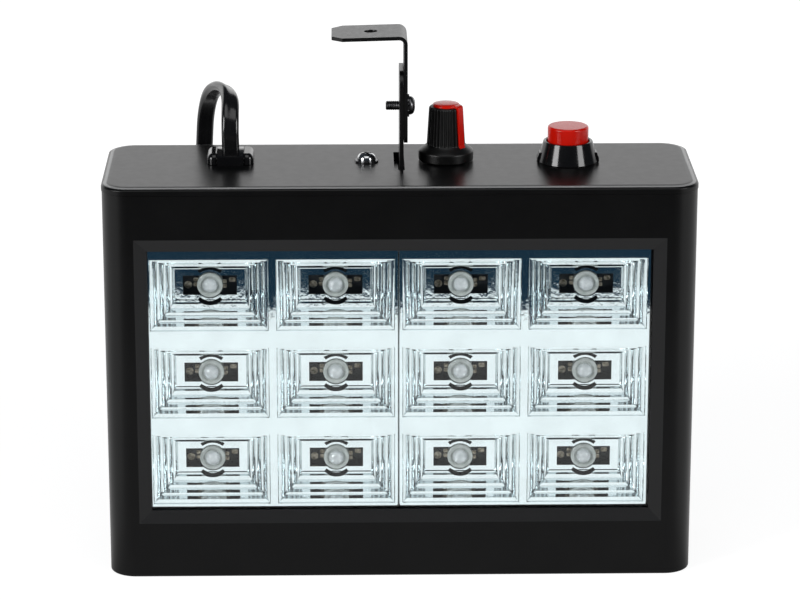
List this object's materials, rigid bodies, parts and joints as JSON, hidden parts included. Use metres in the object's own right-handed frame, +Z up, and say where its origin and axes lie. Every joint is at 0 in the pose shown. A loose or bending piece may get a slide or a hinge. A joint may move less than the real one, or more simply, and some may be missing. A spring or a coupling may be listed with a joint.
{
  "type": "strobe light",
  "caption": "Rectangular strobe light with stepped reflector cells behind a clear window, a speed knob, a push button, a tilting hanging bracket and a flat mains cord with a plug.",
  "frame": {"origin": "middle of the housing's underside", "axes": "+X to the right and -Y towards a viewer who faces the window; +Z up, through the lid that carries the knob and the button"},
  "size_m": [0.175, 0.1643, 0.1617],
  "materials": {
    "housing": "satin black moulding",
    "gloss_black": "gloss black moulding",
    "knob_black": "matt black moulding",
    "red_plastic": "gloss red moulding",
    "window": "clear moulded pane",
    "reflector": "vacuum-metallised moulding",
    "led_board": "black solder mask",
    "driver_board": "green solder mask",
    "led_body": "grey body with a clear dome",
    "black_steel": "black oxide",
    "chrome": "bright plated",
    "zinc": "zinc plated",
    "spring_steel": "bright wire",
    "cord": "glossy black flexible sheath",
    "tape": "yellow winding tape",
    "sleeve": "blue sleeve",
    "terminal": "green moulding",
    "switch": "dark moulded case"
  },
  "bodies": {
    "housing": {"front_shell": "housing", "top_plate": "housing", "rear_cover": "housing", "window_pane": "window", "rear_screw_1": "black_steel", "rear_screw_2": "black_steel", "rear_screw_3": "black_steel", "rear_screw_4": "black_steel", "reflector_left": "reflector", "reflector_right": "reflector", "led_board": "led_board", "led_emitter_1": "led_body", "led_emitter_2": "led_body", "led_emitter_3": "led_body", "led_emitter_4": "led_body", "led_emitter_5": "led_body", "led_emitter_6": "led_body", "led_emitter_7": "led_body", "led_emitter_8": "led_body", "led_emitter_9": "led_body", "led_emitter_10": "led_body", "led_emitter_11": "led_body", "led_emitter_12": "led_body", "led_screw_1": "zinc", "led_screw_2": "zinc", "led_screw_3": "zinc", "led_screw_4": "zinc", "driver_board": "driver_board", "transformer": "tape", "filter_capacitor": "sleeve", "terminal_block": "terminal", "speed_pot": "black_steel", "pot_nut": "zinc", "button_housing": "gloss_black", "button_spring": "spring_steel", "button_nut": "zinc", "switch_body": "switch", "strain_relief": "gloss_black", "bracket_strip": "black_steel", "foot_screw": "chrome", "foot_washer": "black_steel", "pivot_washer": "black_steel", "pivot_screw": "black_steel", "inner_cord": "cord", "pot_lead": "sleeve", "switch_lead": "sleeve", "led_lead": "red_plastic", "cord_lead": "cord", "cord_coil": "cord", "cord_tail": "cord", "cord_tie": "cord", "power_plug": "cord", "plug_pin_left": "chrome", "plug_pin_right": "chrome"},
    "knob": {"speed_knob": "knob_black", "knob_pointer": "red_plastic", "pot_shaft": "zinc"},
    "button": {"button_cap": "red_plastic"},
    "hanger": {"hanging_bracket": "black_steel"}
  },
  "joints": [
    {"name": "speed_knob_turn", "type": "hinge", "parent": "housing", "child": "knob", "pos_m": [0.0141, 0.0055, 0.1207], "axis": [0, 0, 1], "range_deg": [-205, 95]},
    {"name": "mode_button_press", "type": "slide", "parent": "housing", "child": "button", "axis": [0, 0, -1], "range_m": [0, 0.0025], "stiffness_N_per_m": 600, "springref_m": -0.001, "deforming": ["button_spring"]},
    {"name": "bracket_tilt", "type": "hinge", "parent": "housing", "child": "hanger", "pos_m": [0.0019, 0.0042, 0.1378], "axis": [1, 0, 0], "range_deg": [-90, 90]}
  ]
}
